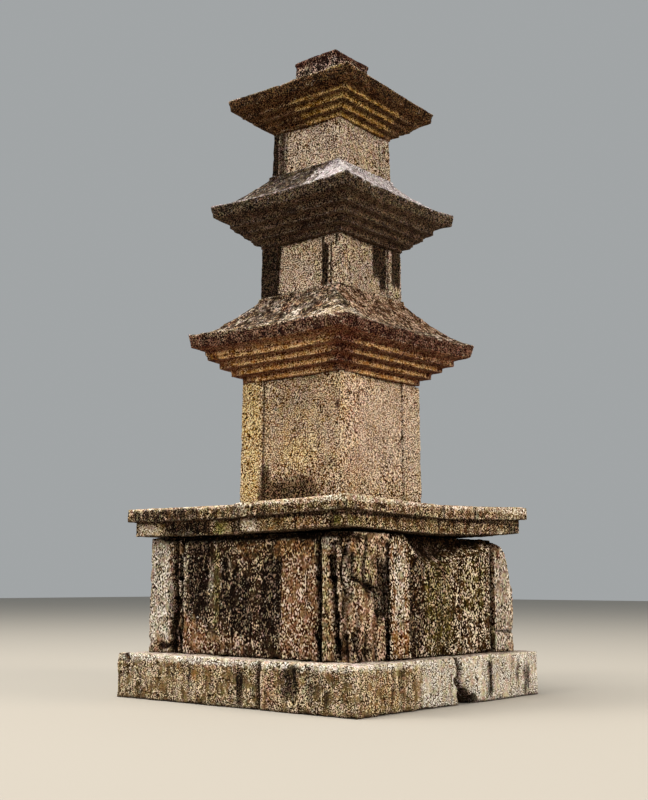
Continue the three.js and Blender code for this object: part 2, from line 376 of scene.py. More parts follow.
# Ragged upright ribs on the split corner
def splitOff(surface, split, seed):
    x, y, z = surface.spots.T
    back = np.stack([split["corner"][0] - x, y - split["corner"][1]], axis=1)
    low, high = split["levels"]
    wavy = split["wave"] * lumps(surface.spots, split["waveSize"], seed, 2)
    inside = ramp(back[:, 0] + wavy, split["reach"][0], split["reach"][0] - 0.02)
    inside *= ramp(back[:, 1] + wavy, split["reach"][1], split["reach"][1] - 0.03)
    inside *= ramp(z, low - 0.01, low + 0.03) * ramp(z, high, high - 0.03)
    corner = ramp(back.sum(1), 0.16, 0.0)
    ribs = lumps(surface.spots, split["ribSize"], seed + 1, 2)
    folds = np.abs(lumps(surface.spots, split["creaseSize"], seed + 2, 2))
    creases = ramp(folds, 0.22, 0.03)
    depth = split["rounding"] * corner + split["ribs"] * (0.5 + 0.5 * ribs + creases)
    depth *= inside
    surface.spots[:, 0] -= depth * 0.7  # straight in along the diagonal
    surface.spots[:, 1] += depth * 0.7
    surface.store()


# The unseen sides have the same kind of stains, turned round and a little shifted
def onAllSides(rows):
    twins = {"front": "back", "right": "left"}
    shrink, shift = -0.93, 0.03
    unseen = [(twins[side], shrink * middle + shift, *rest) for side, middle, *rest in rows]
    return list(rows) + unseen


staining = {
    "sway": (0.06, 0.06, 0.25),  # size of the waves in its sides, in metres
    "fingers": (0.025, 0.025, 2.0),  # and of the fingers at its ends
    "mostSway": 0.025,  # and how far they reach at most
    "mostFinger": 0.08,
    "endFade": 0.08,  # length over which an end fades
    "fadeInside": 0.035,  # and a side, inwards and outwards of its edge
    "fadeOutside": 0.02,
}


# Stains: side, middle along it, width, head and foot levels, strength, and the length over
# which the head fades where it isn't the usual one. Their ends fray into fingers. A small
# stain sways, frays and fades by no more than a share of its own size.
def stained(surface, rows, look, seed):
    total = np.zeros(len(surface.spots))
    sway = lumps(surface.spots, staining["sway"], seed, 2)
    fingers = lumps(surface.spots, staining["fingers"], seed + 3, 2)
    for side, middle, width, head, foot, strength, *fade in onAllSides(rows):
        along, level, facing = surface.onSide(side)
        run = head - foot
        soft = min(staining["endFade"] * look["softness"], 0.3 * run)
        headSoft = fade[0] if fade else 0.5 * soft
        offset = np.abs(along - middle) + min(0.14 * width, staining["mostSway"]) * sway
        level = level + look["fingers"] * min(0.12 * run, staining["mostFinger"]) * fingers
        inner = 0.5 * width - min(staining["fadeInside"] * look["softness"], 0.35 * width)
        outer = 0.5 * width + min(staining["fadeOutside"] * look["softness"], 0.25 * width)
        up = ramp(level, foot - soft, foot + soft)
        down = ramp(level, head + headSoft, head - headSoft)
        mark = strength * ramp(offset, outer, inner) * (up * down) * ramp(facing, 0.12, 0.4)
        total = np.maximum(total, mark)
    return total


# Grime about the upright corners: which corner, from and to which level, how far it
# reaches, strength
def cornered(surface, rows):
    total = np.zeros(len(surface.spots))
    for (signX, signY), low, high, reach, strength in rows:
        across = surface.towards(signX, signY)
        near = ramp(across.max(1) - across.min(1), reach, 0.2 * reach) * (across.min(1) > 0)
        total = np.maximum(total, strength * near * surface.between(low, high))
    return total


# Widths in millimetres of the patterns that all the stones share
widths = {
    "worn": 55,  # spots worn smooth
    "mottle": 90,
    "clumps": 27,
    "drips": 22,
    "otherStone": 190,
    "warmStone": 105,
    "rain": 38,  # from one streak to the next
    "drifts": 70,  # of dust
    "blots": 26,  # that break up painted stains
    "threads": 20,  # that break up soot
    "dots": 13,  # pale crystals
    "swarms": 80,  # of such dots
    "tints": 30,
}


# Weathered hewn granite, matt and coarse: dark mica and pale feldspar crystals, weathered
# out into grit. Each stain and growth colours the same grain, so the stone shows through it.
def granite(name, look):
    if name in bpy.data.materials:
        return bpy.data.materials[name]
    material = bpy.data.materials.new(name)
    material.use_nodes = True
    tree = material.node_tree
    shader = tree.nodes["Principled BSDF"]
    place = addNode(tree, "TexCoord").outputs["Object"]
    normal = addNode(tree, "NewGeometry").outputs["Normal"]
    upward = addNode(tree, "SeparateXYZ", {"Vector": normal}).outputs["Z"]
    steep = addNode(tree, "Math", {0: upward}, operation="ABSOLUTE")
    scale = {pattern: 1000 / width for pattern, width in widths.items()}  # noise counts per metre

    # Mica and feldspar crystals; level faces weather into a coarser crust of them
    upstanding = addNode(tree, "Mapping", {"Vector": place, "Scale": (1, 1, look["upstanding"])})
    crystals = addNode(tree, "TexNoise", {
        "Vector": upstanding, "Scale": 1000 / look["grain"], "Detail": 0.5, "Roughness": 0.5,
    })
    flat = addNode(tree, "MapRange", {"Value": upward, "From Min": 0.25, "From Max": 0.6})
    crust = addNode(tree, "TexNoise", {
        "Vector": place, "Scale": 1000 / look["crust"], "Detail": 3.0, "Roughness": 0.6,
    })
    crusted = addNode(tree, "Math", {0: flat, 1: 0.6}, operation="MULTIPLY")
    crystals = addNode(tree, "MixRGB", {"Fac": crusted, "Color1": crystals, "Color2": crust})

    # Some spots are worn smooth, others are pitted, and some are darker, in clouds or upright
    # streaks
    stretched = addNode(tree, "Mapping", {"Vector": place, "Scale": (1, 1, 0.05)})
    worn = addNode(tree, "TexNoise", {"Vector": place, "Scale": scale["worn"], "Detail": 3.0})
    pitted = addNode(tree, "MapRange", {
        "Value": worn, "From Min": 0.38, "From Max": 0.62,
        "To Min": look["calm"], "To Max": look["rough"],
    })
    grain = addNode(tree, "Math", {0: crystals, 1: 0.5}, operation="SUBTRACT")
    grain = addNode(tree, "Math", {0: grain, 1: pitted, 2: 0.5}, operation="MULTIPLY_ADD")
    for vector, kind in ((place, "mottle"), (place, "clumps"), (stretched, "drips")):
        swing = look[kind]
        cloud = addNode(tree, "TexNoise", {"Vector": vector, "Scale": scale[kind], "Detail": 3.0})
        drift = addNode(tree, "MapRange", {
            "Value": cloud, "From Min": 0.3, "From Max": 0.7, "To Min": -swing, "To Max": swing,
        })
        grain = addNode(tree, "Math", {0: grain, 1: drift}, operation="ADD")

    # Lays a growth or stain over what is there, in its own four colours of that grain
    def layer(under, amount, shades):
        grained = addNode(tree, "ValToRGB", {"Fac": grain})
        stops = grained.color_ramp.elements
        stops[0].position, stops[1].position = look["stops"][0], look["stops"][3]
        stops.new(look["stops"][1])
        stops.new(look["stops"][2])
        for stop, shade in zip(stops, shades):
            stop.color = linear(shade)
        return addNode(tree, "MixRGB", {"Fac": amount, "Color1": under, "Color2": grained})

    colour = layer(linear(look["stone"][1]), 1.0, look["stone"])

    # Two more tones of stone, in clouds
    for tone, low, high in (("otherStone", 0.45, 0.6), ("warmStone", 0.5, 0.66)):
        cloud = addNode(tree, "TexNoise", {"Vector": place, "Scale": scale[tone], "Detail": 3.0})
        amount = addNode(tree, "MapRange", {
            "Value": cloud, "From Min": low, "From Max": high, "To Max": look["clouded"],
        }, interpolation_type="SMOOTHSTEP")
        colour = layer(colour, amount, look[tone])

    # Rain washes grime down the upright faces in thin streaks
    rain = addNode(tree, "TexNoise", {"Vector": stretched, "Scale": scale["rain"], "Detail": 4.0})
    wet = addNode(tree, "MapRange", {
        "Value": rain, "From Min": 0.5, "From Max": 0.68, "To Max": look["streaks"],
    }, interpolation_type="SMOOTHSTEP")
    upright = addNode(tree, "MapRange", {"Value": steep, "From Min": 0.6, "From Max": 0.3})
    wet = addNode(tree, "Math", {0: wet, 1: upright}, operation="MULTIPLY")
    colour = layer(colour, wet, look["soot"])

    # Dust, pale crusts and painted sky light on level faces, where the open sky reaches the stone
    # from above
    exposure = addNode(tree, "AmbientOcclusion", {"Distance": 0.6, "Normal": normal}, samples=5)
    lit = addNode(tree, "MapRange", {
        "Value": exposure.outputs["AO"], "From Min": 0.3, "From Max": 0.55,
    })
    drifts = addNode(tree, "TexNoise", {
        "Vector": place, "Scale": scale["drifts"], "Detail": 4.0, "Roughness": 0.6,
    })
    dustAndSkyLightAmount = addNode(tree, "MapRange", {
        "Value": drifts, "From Min": look["bare"], "From Max": look["bare"] + 0.12,
        "To Max": look["dustAndSkyLightAmount"],
    }, interpolation_type="SMOOTHSTEP")
    dustAndSkyLightAmount = addNode(tree, "Math", {0: dustAndSkyLightAmount, 1: flat}, operation="MULTIPLY")
    dustAndSkyLightAmount = addNode(tree, "Math", {0: dustAndSkyLightAmount, 1: lit}, operation="MULTIPLY")
    colour = layer(colour, dustAndSkyLightAmount, look["dustAndSkyLight"])

    # Stains painted on the stone, broken up by a fray of blots, or of threads for soot
    blots = addNode(tree, "TexNoise", {"Vector": place, "Scale": scale["blots"], "Detail": 4.0})
    drawn = addNode(tree, "Mapping", {"Vector": place, "Scale": (1, 1, look["drawn"])})
    threads = addNode(tree, "TexNoise", {"Vector": drawn, "Scale": scale["threads"], "Detail": 4.0})
    fray = look["fray"]
    for stain in ("rose", "ochre", "lichen", "pale", "soot"):
        painted = addNode(tree, "Attribute", attribute_name=stain).outputs["Fac"]
        pattern = threads if stain == "soot" else blots
        broken = addNode(tree, "Math", {0: pattern, 1: fray, 2: painted}, operation="MULTIPLY_ADD")
        amount = addNode(tree, "MapRange", {
            "Value": broken, "From Min": 0.5 * fray + 0.15, "From Max": 0.5 * fray + 0.85,
        }, interpolation_type="SMOOTHSTEP")
        colour = layer(colour, amount, look[stain])

    # Single pale crystals and dots of crust show on the darkest stone too
    dots = addNode(tree, "TexNoise", {"Vector": place, "Scale": scale["dots"], "Detail": 1.0})
    specks = addNode(tree, "MapRange", {
        "Value": dots, "From Min": 0.62, "From Max": 0.69, "To Max": look["specks"],
    })
    swarm = addNode(tree, "TexNoise", {"Vector": place, "Scale": scale["swarms"], "Detail": 3.0})
    swarm = addNode(tree, "MapRange", {"Value": swarm, "From Min": 0.42, "From Max": 0.6})
    specks = addNode(tree, "Math", {0: specks, 1: swarm}, operation="MULTIPLY")
    colour = layer(colour, specks, look["pale"])

    # Sharp edges are rubbed pale, with a painted highlight on those facing the sky
    wornEdgeAndHighlight = addNode(tree, "Attribute", attribute_name="wornEdgeAndHighlight").outputs["Fac"]
    rubbedAndLit = addNode(tree, "Math", {0: wornEdgeAndHighlight, 1: look["rubbedAndLit"]}, operation="MULTIPLY")
    colour = layer(colour, rubbedAndLit, look["pale"])

    # Grime and painted shade: sheltered corners, undersides and hollows are darkened, partly as
    # grime the rain never washes off and partly as painted shade where less light reaches
    tilted = addNode(tree, "VectorMath", {0: normal, 1: (0, 0, 0.5)}, operation="ADD")
    tilted = addNode(tree, "VectorMath", {0: tilted}, operation="NORMALIZE")
    shelter = addNode(tree, "AmbientOcclusion", {
        "Distance": look["shelter"], "Normal": tilted,
    }, samples=6)
    grimeShadeAmount = addNode(tree, "MapRange", {
        "Value": shelter.outputs["AO"], "From Min": look["grimeShadeStart"], "From Max": look["grimeShadeFull"],
        "To Max": look["grimeShadeAmount"],
    }, interpolation_type="SMOOTHSTEP")
    colour = layer(colour, grimeShadeAmount, look["grimeAndShade"])
    # Undersides are darkened by their facing: painted shade, with some grime
    under = addNode(tree, "MapRange", {
        "Value": upward, "From Min": -0.35, "From Max": -0.75, "To Max": look["under"],
    })
    colour = layer(colour, under, look["grimeAndShade"])
    # Hollows, grooves and the recess behind the face get grime and painted shade
    hollowGrimeAndShade = addNode(tree, "Attribute", attribute_name="hollowGrimeAndShade").outputs["Fac"]
    colour = layer(colour, hollowGrimeAndShade, look["grimeAndShade"])

    # Moist stone looks richer than its dry colours; minerals and thin growths tint it patch
    # by patch
    colour = addNode(tree, "HueSaturation", {"Saturation": look["richness"], "Color": colour})
    tints = addNode(tree, "TexNoise", {"Vector": place, "Scale": scale["tints"], "Detail": 2.0})
    colour = addNode(tree, "MixRGB", {
        "Fac": look["tinted"], "Color1": colour, "Color2": tints.outputs["Color"],
    }, blend_type="OVERLAY")
    tree.links.new(colour.outputs[0], shader.inputs["Base Color"])

    # The tooling's shallow dents, with single crystals weathered out on top; no gloss is left
    tooling = addNode(tree, "Bump", {"Distance": 0.006, "Height": blots})
    bump = addNode(tree, "Bump", {"Distance": 0.011, "Height": crystals, "Normal": tooling})
    tree.links.new(bump.outputs["Normal"], shader.inputs["Normal"])
    shader.inputs["Roughness"].default_value = 0.93
    shader.inputs["Specular IOR Level"].default_value = 0.05
    return material


# What stones have unless their own dictionary says otherwise. Each list of colours is for the
# grain: pits, dark ground, light ground, tops.
commonGranite = {
    "grain": 7.5,  # real crystals are 3 to 6 mm; drawn as coarse as shows from eight metres
    "upstanding": 1.0,  # less than 1 draws the crystals out upright
    "stops": (0.4, 0.462, 0.535, 0.6),  # where on the grain its four colours lie
    "mottle": 0.04,  # how far the grain darkens and lightens in broad clouds
    "clumps": 0.015,  # in small clouds
    "drips": 0.015,  # and in upright streaks
    "calm": 0.35,  # how strong the grain is where the face is smooth
    "rough": 1.4,  # and where it is pitted
    "clouded": 0.6,  # how strongly the two other tones of stone show
    "streaks": 0.5,  # and the streaks that rain leaves
    "fray": 1.3,  # how far painted stains are broken up
    "drawn": 0.22,  # how far soot is drawn out into threads down the face
    "dustAndSkyLightAmount": 0.8,
    "bare": 0.42,  # how much stone shows through the dust and painted sky light
    "crust": 18,  # mm, the coarser crystals on level faces
    "tinted": 0.35,
    "richness": 1.08,  # saturation
    "rubbedAndLit": 0.5,  # how pale an edge is rubbed and given a painted highlight
    "bluntEdge": 0.3,  # an edge that stands out by less isn't rubbed or highlighted at all
    "sharpEdge": 0.8,  # and one that stands out by more is rubbed and highlighted in full
    "softness": 1.0,  # how gently painted stains begin and end
    "fingers": 1.0,  # how far their heads and feet fray into fingers
    "shelter": 0.11,  # metres within which something overhead keeps the rain and the light off, for grime and painted shade
    "grimeShadeStart": 0.78,  # grime and painted shade begin where less of the sky than this is seen
    "grimeShadeFull": 0.4,  # and are darkest here
    "grimeShadeAmount": 0.8,
    "under": 0.8,  # painted shade and grime on undersides
    "specks": 0.4,  # single pale crystals
    "hollowsGrimeAndShade": 0.5,  # grime and painted shade in hollows
    "faceLine": 1.0,  # metres from the middle to the upright faces
    "stone": ("#221000", "#674a2d", "#98754f", "#dcc09a"),
    "otherStone": ("#201200", "#635434", "#8f805a", "#cfc29c"),
    "warmStone": ("#301400", "#7c4e2d", "#ab7a54", "#e2bd98"),
    "rose": ("#201008", "#744f38", "#ac8468", "#f0d2b8"),
    "ochre": ("#2c1808", "#7e5426", "#aa7a42", "#e6bf86"),
    "lichen": ("#221e0a", "#645a30", "#8e8248", "#cdc186"),
    "soot": ("#020100", "#0e0805", "#20160f", "#6e5b49"),
    "pale": ("#20150b", "#77634c", "#bba88e", "#fff6e6"),
    "dustAndSkyLight": ("#0c0704", "#33281f", "#77695c", "#f8eee4"),
    "grimeAndShade": ("#070302", "#1b110a", "#33211a", "#5a4230"),
}


# Shapes a stone, stains it and puts it in the place of its CAD node
def buildStone(node, look, seed):
    look = {**commonGranite, **look}
    piece = roughOut(node, look)
    surface = Surface(piece.data)
    weather(surface, look, seed)
    wearCorners(surface, look.get("worn", ()))
    shaded = carve(surface, look.get("carved", ()), seed + 20)
    if node in splitStones:
        splitOff(surface, splitStones[node], seed + 60)

    # Edges are rubbed pale, with a painted highlight that is strongest towards the sky; grime and
    # painted shade fill hollows, grooves and what lies behind the face
    proud = surface.proud(5) / look["voxel"]
    skyward = 0.25 + 0.75 * ramp(surface.normals[:, 2], 0.05, 0.4)  # a quarter on upright faces
    surface.paint("wornEdgeAndHighlight", skyward * ramp(proud, look["bluntEdge"], look["sharpEdge"]))
    # Painted shadow in recesses 3 to 7 cm behind the face
    recessShade = stained(surface, look.get("recessShadeMarks", ()), look, seed + 50)
    reach = np.abs(surface.spots[:, :2]).max(1)
    recessShade *= ramp(reach, look["faceLine"] - 0.03, look["faceLine"] - 0.07)  # 3 to 7 cm behind
    hollowsGrimeAndShade = ramp(-proud, 0.15, 0.8) * look["hollowsGrimeAndShade"]
    surface.paint("hollowGrimeAndShade", np.maximum(hollowsGrimeAndShade, np.maximum(recessShade, shaded)))
    for kind in ("rose", "ochre", "lichen", "soot", "pale"):
        marks = stained(surface, look.get(kind + "Marks", ()), look, seed + 40)
        if kind == "soot":
            marks = np.maximum(marks, cornered(surface, look.get("cornerMarks", ())))
        surface.paint(kind, marks)

    piece.data.materials.clear()
    piece.data.materials.append(granite(look["finish"], look))
    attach(piece, "root")
    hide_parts(node)
    return len(piece.data.polygons) * 2


# The looks of the stones, in metres. What the rows of carved, worn and painted marks say is
# written above carve, wearCorners, stained and cornered.
foundation = {
    "finish": "bedded granite",  # dull buff, with ledges pale with dust and painted sky light
    "calm": 0.2,
    "rough": 1.5,
    "richness": 1.0,
    "mottle": 0.03,
    "softness": 2.2,
    "voxel": 0.0155,
    "wear": 2,
    "uneven": 0.005,
    "nibble": 0.012,
    "grit": 0.0025,
    "pits": 0.004,
    "stops": (0.405, 0.46, 0.535, 0.6),
    "stone": ("#241405", "#6e5838", "#998159", "#f8e6c8"),
    "otherStone": ("#201004", "#614a2a", "#846a46", "#eacfa8"),
    "warmStone": ("#2c1806", "#88704c", "#b29b78", "#ffefd8"),
    "pale": ("#382a1a", "#b0a088", "#dccdb6", "#fffef8"),
    "clouded": 0.4,
    "drips": 0.035,
    "clumps": 0.01,
    "grimeShadeAmount": 0.7,
    "dustAndSkyLight": ("#6d5e50", "#a4968a", "#c8b9ad", "#ece2da"),
    "dustAndSkyLightAmount": 0.95,
    "bare": 0.2,
    "sootMarks": [
        ("front", 0.0, 2.1, 0.27, -0.1, 0.32),
        ("front", -0.305, 0.06, 0.25, 0.02, 0.6),
        ("front", 0.103, 0.06, 0.235, 0.0, 0.85),
        ("front", 0.185, 0.09, 0.24, 0.0, 0.35),
        ("front", 0.494, 0.15, 0.262, 0.04, 0.75),
        ("front", 0.63, 0.06, 0.265, 0.03, 0.65),
        ("front", 0.3, 0.2, 0.2, 0.0, 0.3),
        ("front", 0.72, 0.24, 0.22, 0.0, 0.42),
        ("right", -0.64, 0.36, 0.25, 0.02, 0.38),
        ("right", -0.44, 0.08, 0.24, 0.02, 0.3),
        ("right", -0.05, 0.05, 0.2, 0.0, 0.35),
        ("right", 0.372, 0.07, 0.24, 0.03, 0.9),
        ("right", 0.7, 0.05, 0.24, 0.06, 0.5),
        ("right", 0.808, 0.09, 0.22, 0.0, 0.7),
    ],
    "roseMarks": [
        ("front", -0.12, 0.36, 0.262, 0.2, 0.5),
        ("front", 0.34, 0.16, 0.24, 0.0, 0.6),
        ("front", -0.5, 0.5, 0.27, 0.22, 0.5),
    ],
    "ochreMarks": [
        ("front", -0.28, 0.35, 0.24, 0.12, 0.4),
        ("front", 0.83, 0.24, 0.24, 0.0, 0.25),
        ("right", -0.7, 0.35, 0.2, 0.0, 0.4),
    ],
    "paleMarks": [
        # Painted highlight along the top rim of the foundation
        ("front", 0.0, 1.9, 0.3, 0.235, 0.9, 0.01),
        ("right", 0.0, 1.9, 0.3, 0.24, 0.8, 0.01),
        ("front", -0.75, 0.3, 0.25, 0.08, 0.3),
        ("right", 0.32, 1.36, 0.3, -0.1, 0.85),
        ("right", -0.18, 0.32, 0.25, 0.0, 1.15),
        ("right", 0.2, 0.24, 0.25, 0.0, 1.0),
        ("right", 0.56, 0.22, 0.24, 0.0, 0.5),
    ],
    "carved": [
        ("right", (0.07, 0.07), (0.16, 0.0), 0.1, 0.09),
        ("right", (0.0, 0.27), (0.035, 0.2), 0.035, 0.02),
        ("right", (0.035, 0.2), (0.015, 0.13), 0.035, 0.02),
        ("right", (0.015, 0.13), (0.06, 0.07), 0.05, 0.03),
        ("front", (0.25, 0.25), (0.247, 0.0), 0.035, 0.02),
        ("front", (-0.9, 0.27), (-0.86, 0.24), 0.06, 0.02),
    ],
}
platform = {
    "finish": "rain-streaked granite",  # rose and grey stone under brown upright streaks
    "grain": 8,
    "upstanding": 0.6,
    "voxel": 0.0115,
    "wear": 1,
    "uneven": 0.004,
    "nibble": 0.01,
    "grit": 0.0035,
    "pits": 0.006,
    "soot": ("#060100", "#150a04", "#2b1c12", "#8c7862"),
    "stops": (0.41, 0.47, 0.54, 0.6),
    "richness": 0.95,
    "calm": 0.22,
    "stone": ("#240f02", "#5c3f25", "#917050", "#eed2b2"),
    "otherStone": ("#201004", "#574328", "#877048", "#e6d0a8"),
    "warmStone": ("#2c1002", "#6e472b", "#a07352", "#f0d0b4"),
    "streaks": 0.7,
    "dustAndSkyLightAmount": 0.15,
    "mottle": 0.03,
    "clumps": 0.005,
    "drips": 0.03,
    "drawn": 0.14,
    "pale": ("#150a02", "#a2927c", "#beb09b", "#faf2e8"),
    "rose": ("#2c0e00", "#805b38", "#aa8766", "#f0dac6"),
    "grimeAndShade": ("#040100", "#0c0502", "#190f08", "#402d1e"),
    "hollowsGrimeAndShade": 0.8,
    "faceLine": 0.829,
    # Painted shadow in the broken recess under the capstone
    "recessShadeMarks": [
        ("right", 0.05, 0.98, 1.1, 0.91, 1.0),
        ("right", -0.12, 0.55, 1.1, 0.8, 0.9),
        ("right", 0.2, 0.5, 1.1, 0.82, 0.6),
        ("right", 0.7, 0.5, 1.1, 0.95, 1.0),
    ],
    "carved": [
        ("front", (-0.592, 0.98), (-0.585, 0.6), 0.045, 0.035),
        ("front", (-0.585, 0.6), (-0.597, 0.25), 0.06, 0.035),
        ("front", (0.588, 0.95), (0.59, 0.26), 0.05, 0.035),
        ("front", (-0.8, 0.262), (0.84, 0.262), 0.03, 0.015),
        ("front", (-0.7, 0.985), (0.84, 0.985), 0.045, 0.02),
        ("right", (-0.84, 0.262), (0.8, 0.262), 0.03, 0.015),
        ("front", (0.7, 0.93), (0.705, 0.62), 0.036, 0.035),
        ("front", (0.705, 0.62), (0.735, 0.3), 0.038, 0.035),
        ("front", (0.742, 0.95), (0.748, 0.91), 0.045, 0.04),
        ("front", (0.78, 0.93), (0.79, 0.76), 0.05, -0.012),
        ("front", (0.79, 0.42), (0.795, 0.26), 0.03, 0.025),
        ("front", (0.65, 0.97), (0.65, 0.93), 0.09, -0.012),
        ("front", (-0.725, 0.305), (-0.62, 0.325), 0.05, 0.018),
        ("right", (-0.81, 0.87), (-0.81, 0.74), 0.03, 0.03),
        ("right", (-0.81, 0.74), (-0.625, 0.671), 0.035, 0.03),
        ("right", (-0.625, 0.671), (-0.585, 0.5), 0.035, 0.03),
        ("right", (-0.56, 0.8), (-0.54, 0.55), 0.06, 0.012),
        ("right", (-0.81, 0.42), (-0.743, 0.281), 0.03, 0.03),
        ("right", (-0.7, 0.42), (-0.69, 0.26), 0.03, 0.025),
        ("right", (-0.5, 0.9), (-0.5, 0.28), 0.06, 0.045),
        ("right", (0.6, 0.41), (0.84, 0.4), 0.02, 0.015),
        ("back", (0.2, 0.95), (0.26, 0.6), 0.03, 0.02),
        ("left", (-0.3, 0.7), (-0.24, 0.3), 0.03, 0.02),
    ],
    "sootMarks": [
        ("front", -0.63, 0.08, 0.94, 0.3, 0.45),
        ("front", -0.22, 0.66, 0.97, 0.42, 0.25),
        ("front", -0.4, 0.19, 0.97, 0.48, 1.1),
        ("front", -0.174, 0.08, 0.9, 0.45, 0.8),
        ("front", -0.037, 0.2, 0.76, 0.4, 1.1),
        ("front", 0.09, 0.09, 0.84, 0.34, 0.4),
        ("front", 0.2, 0.19, 0.86, 0.4, 1.0),
        ("front", 0.16, 0.06, 0.97, 0.3, 0.6),
        ("front", -0.1, 0.2, 0.36, 0.26, 0.4),
        ("front", 0.5, 0.05, 0.9, 0.3, 0.3),
        ("front", 0.715, 0.03, 0.93, 0.3, 0.6),
        ("front", 0.8, 0.07, 0.45, 0.27, 0.25),
        ("right", -0.79, 0.05, 0.86, 0.74, 0.7),
        ("right", -0.66, 0.1, 0.74, 0.6, 0.55),
        ("right", -0.55, 0.11, 0.85, 0.48, 0.8),
        ("right", -0.502, 0.06, 0.9, 0.28, 0.85),
        ("right", -0.72, 0.22, 0.42, 0.27, 0.35),
        ("right", -0.229, 0.11, 0.84, 0.26, 0.85),
        ("right", -0.16, 0.12, 0.86, 0.26, 0.7),
        ("right", 0.03, 0.3, 0.88, 0.28, 0.5),
        ("right", 0.5, 0.14, 0.9, 0.6, 0.35),
    ],
    "roseMarks": [
        ("front", -0.448, 0.26, 0.53, 0.28, 0.9),
        ("front", -0.22, 0.4, 0.41, 0.28, 0.6),
        ("front", 0.0, 0.25, 0.96, 0.82, 0.4),
        ("front", 0.42, 0.3, 0.88, 0.28, 0.95),
        ("front", 0.65, 0.11, 0.95, 0.28, 0.65),
        ("front", 0.78, 0.07, 0.95, 0.28, 0.5),
        ("right", -0.378, 0.17, 0.95, 0.28, 0.8),
        ("right", -0.66, 0.2, 0.6, 0.3, 0.45),
        ("right", -0.68, 0.2, 0.95, 0.6, 0.5),
    ],
    "ochreMarks": [
        ("front", 0.38, 0.34, 0.96, 0.84, 0.55),
        ("front", 0.06, 0.3, 0.96, 0.86, 0.4),
        ("front", 0.645, 0.1, 0.96, 0.28, 0.45),
        ("front", -0.7, 0.14, 0.38, 0.27, 0.35),
        ("right", -0.79, 0.08, 0.94, 0.88, 0.8),
    ],
    "lichenMarks": [
        ("front", -0.243, 0.06, 0.94, 0.44, 0.5),
        ("front", 0.636, 0.09, 0.93, 0.29, 0.5),
        ("right", 0.03, 0.3, 0.84, 0.3, 0.5),
        ("right", 0.4, 0.3, 0.86, 0.5, 0.35),
        ("right", -0.69, 0.2, 0.93, 0.64, 0.45),
    ],
    "paleMarks": [
        ("front", -0.73, 0.2, 0.98, 0.34, 0.9),
        ("front", -0.534, 0.07, 0.94, 0.5, 0.5),
        ("front", -0.296, 0.045, 0.86, 0.56, 0.5),
        ("front", -0.473, 0.045, 0.875, 0.82, 0.9),
        ("front", -0.136, 0.03, 0.83, 0.79, 0.9),
        ("front", -0.12, 0.025, 0.8, 0.5, 0.4),
        ("front", 0.638, 0.1, 0.975, 0.9, 0.8),
        ("front", 0.64, 0.09, 0.93, 0.3, 0.3),
        ("front", 0.77, 0.05, 0.92, 0.6, 0.5),
        ("right", -0.378, 0.13, 0.93, 0.45, 0.75),
        ("right", 0.72, 0.24, 0.9, 0.28, 0.6),
        ("right", 0.642, 0.12, 0.39, 0.285, 0.8),
    ],
}
panel = {
    **platform,
    "finish": "sooty panel granite",  # nearly black, with pale crystals showing through
    "specks": 0.75,
    "stops": (0.43, 0.5, 0.57, 0.65),
    "grain": 8.5,
    "stone": ("#1a0902", "#372514", "#5a432e", "#f0d4b4"),
    "otherStone": ("#140902", "#2f2310", "#4e4125", "#e6d0a6"),
    "warmStone": ("#1c0901", "#3c2716", "#5e4530", "#f0d2b6"),
}
rightPanel = {
    **panel,
    "finish": "speckled panel granite",  # black and coarse, with many pale specks
    "grain": 10,
    "upstanding": 0.75,
    "richness": 1.12,
    "stops": (0.435, 0.495, 0.545, 0.605),
    "specks": 0.9,
    "stone": ("#160900", "#281808", "#6e5438", "#fff0da"),
    "otherStone": ("#140900", "#261a08", "#655233", "#ffeed4"),
    "warmStone": ("#1c0900", "#341e0b", "#785639", "#ffeedc"),
}
rubble = {
    **platform,
    "finish": "packed rubble",  # rough and dark
    "voxel": 0.035,
    "grit": 0.01,
    "carved": (),
}
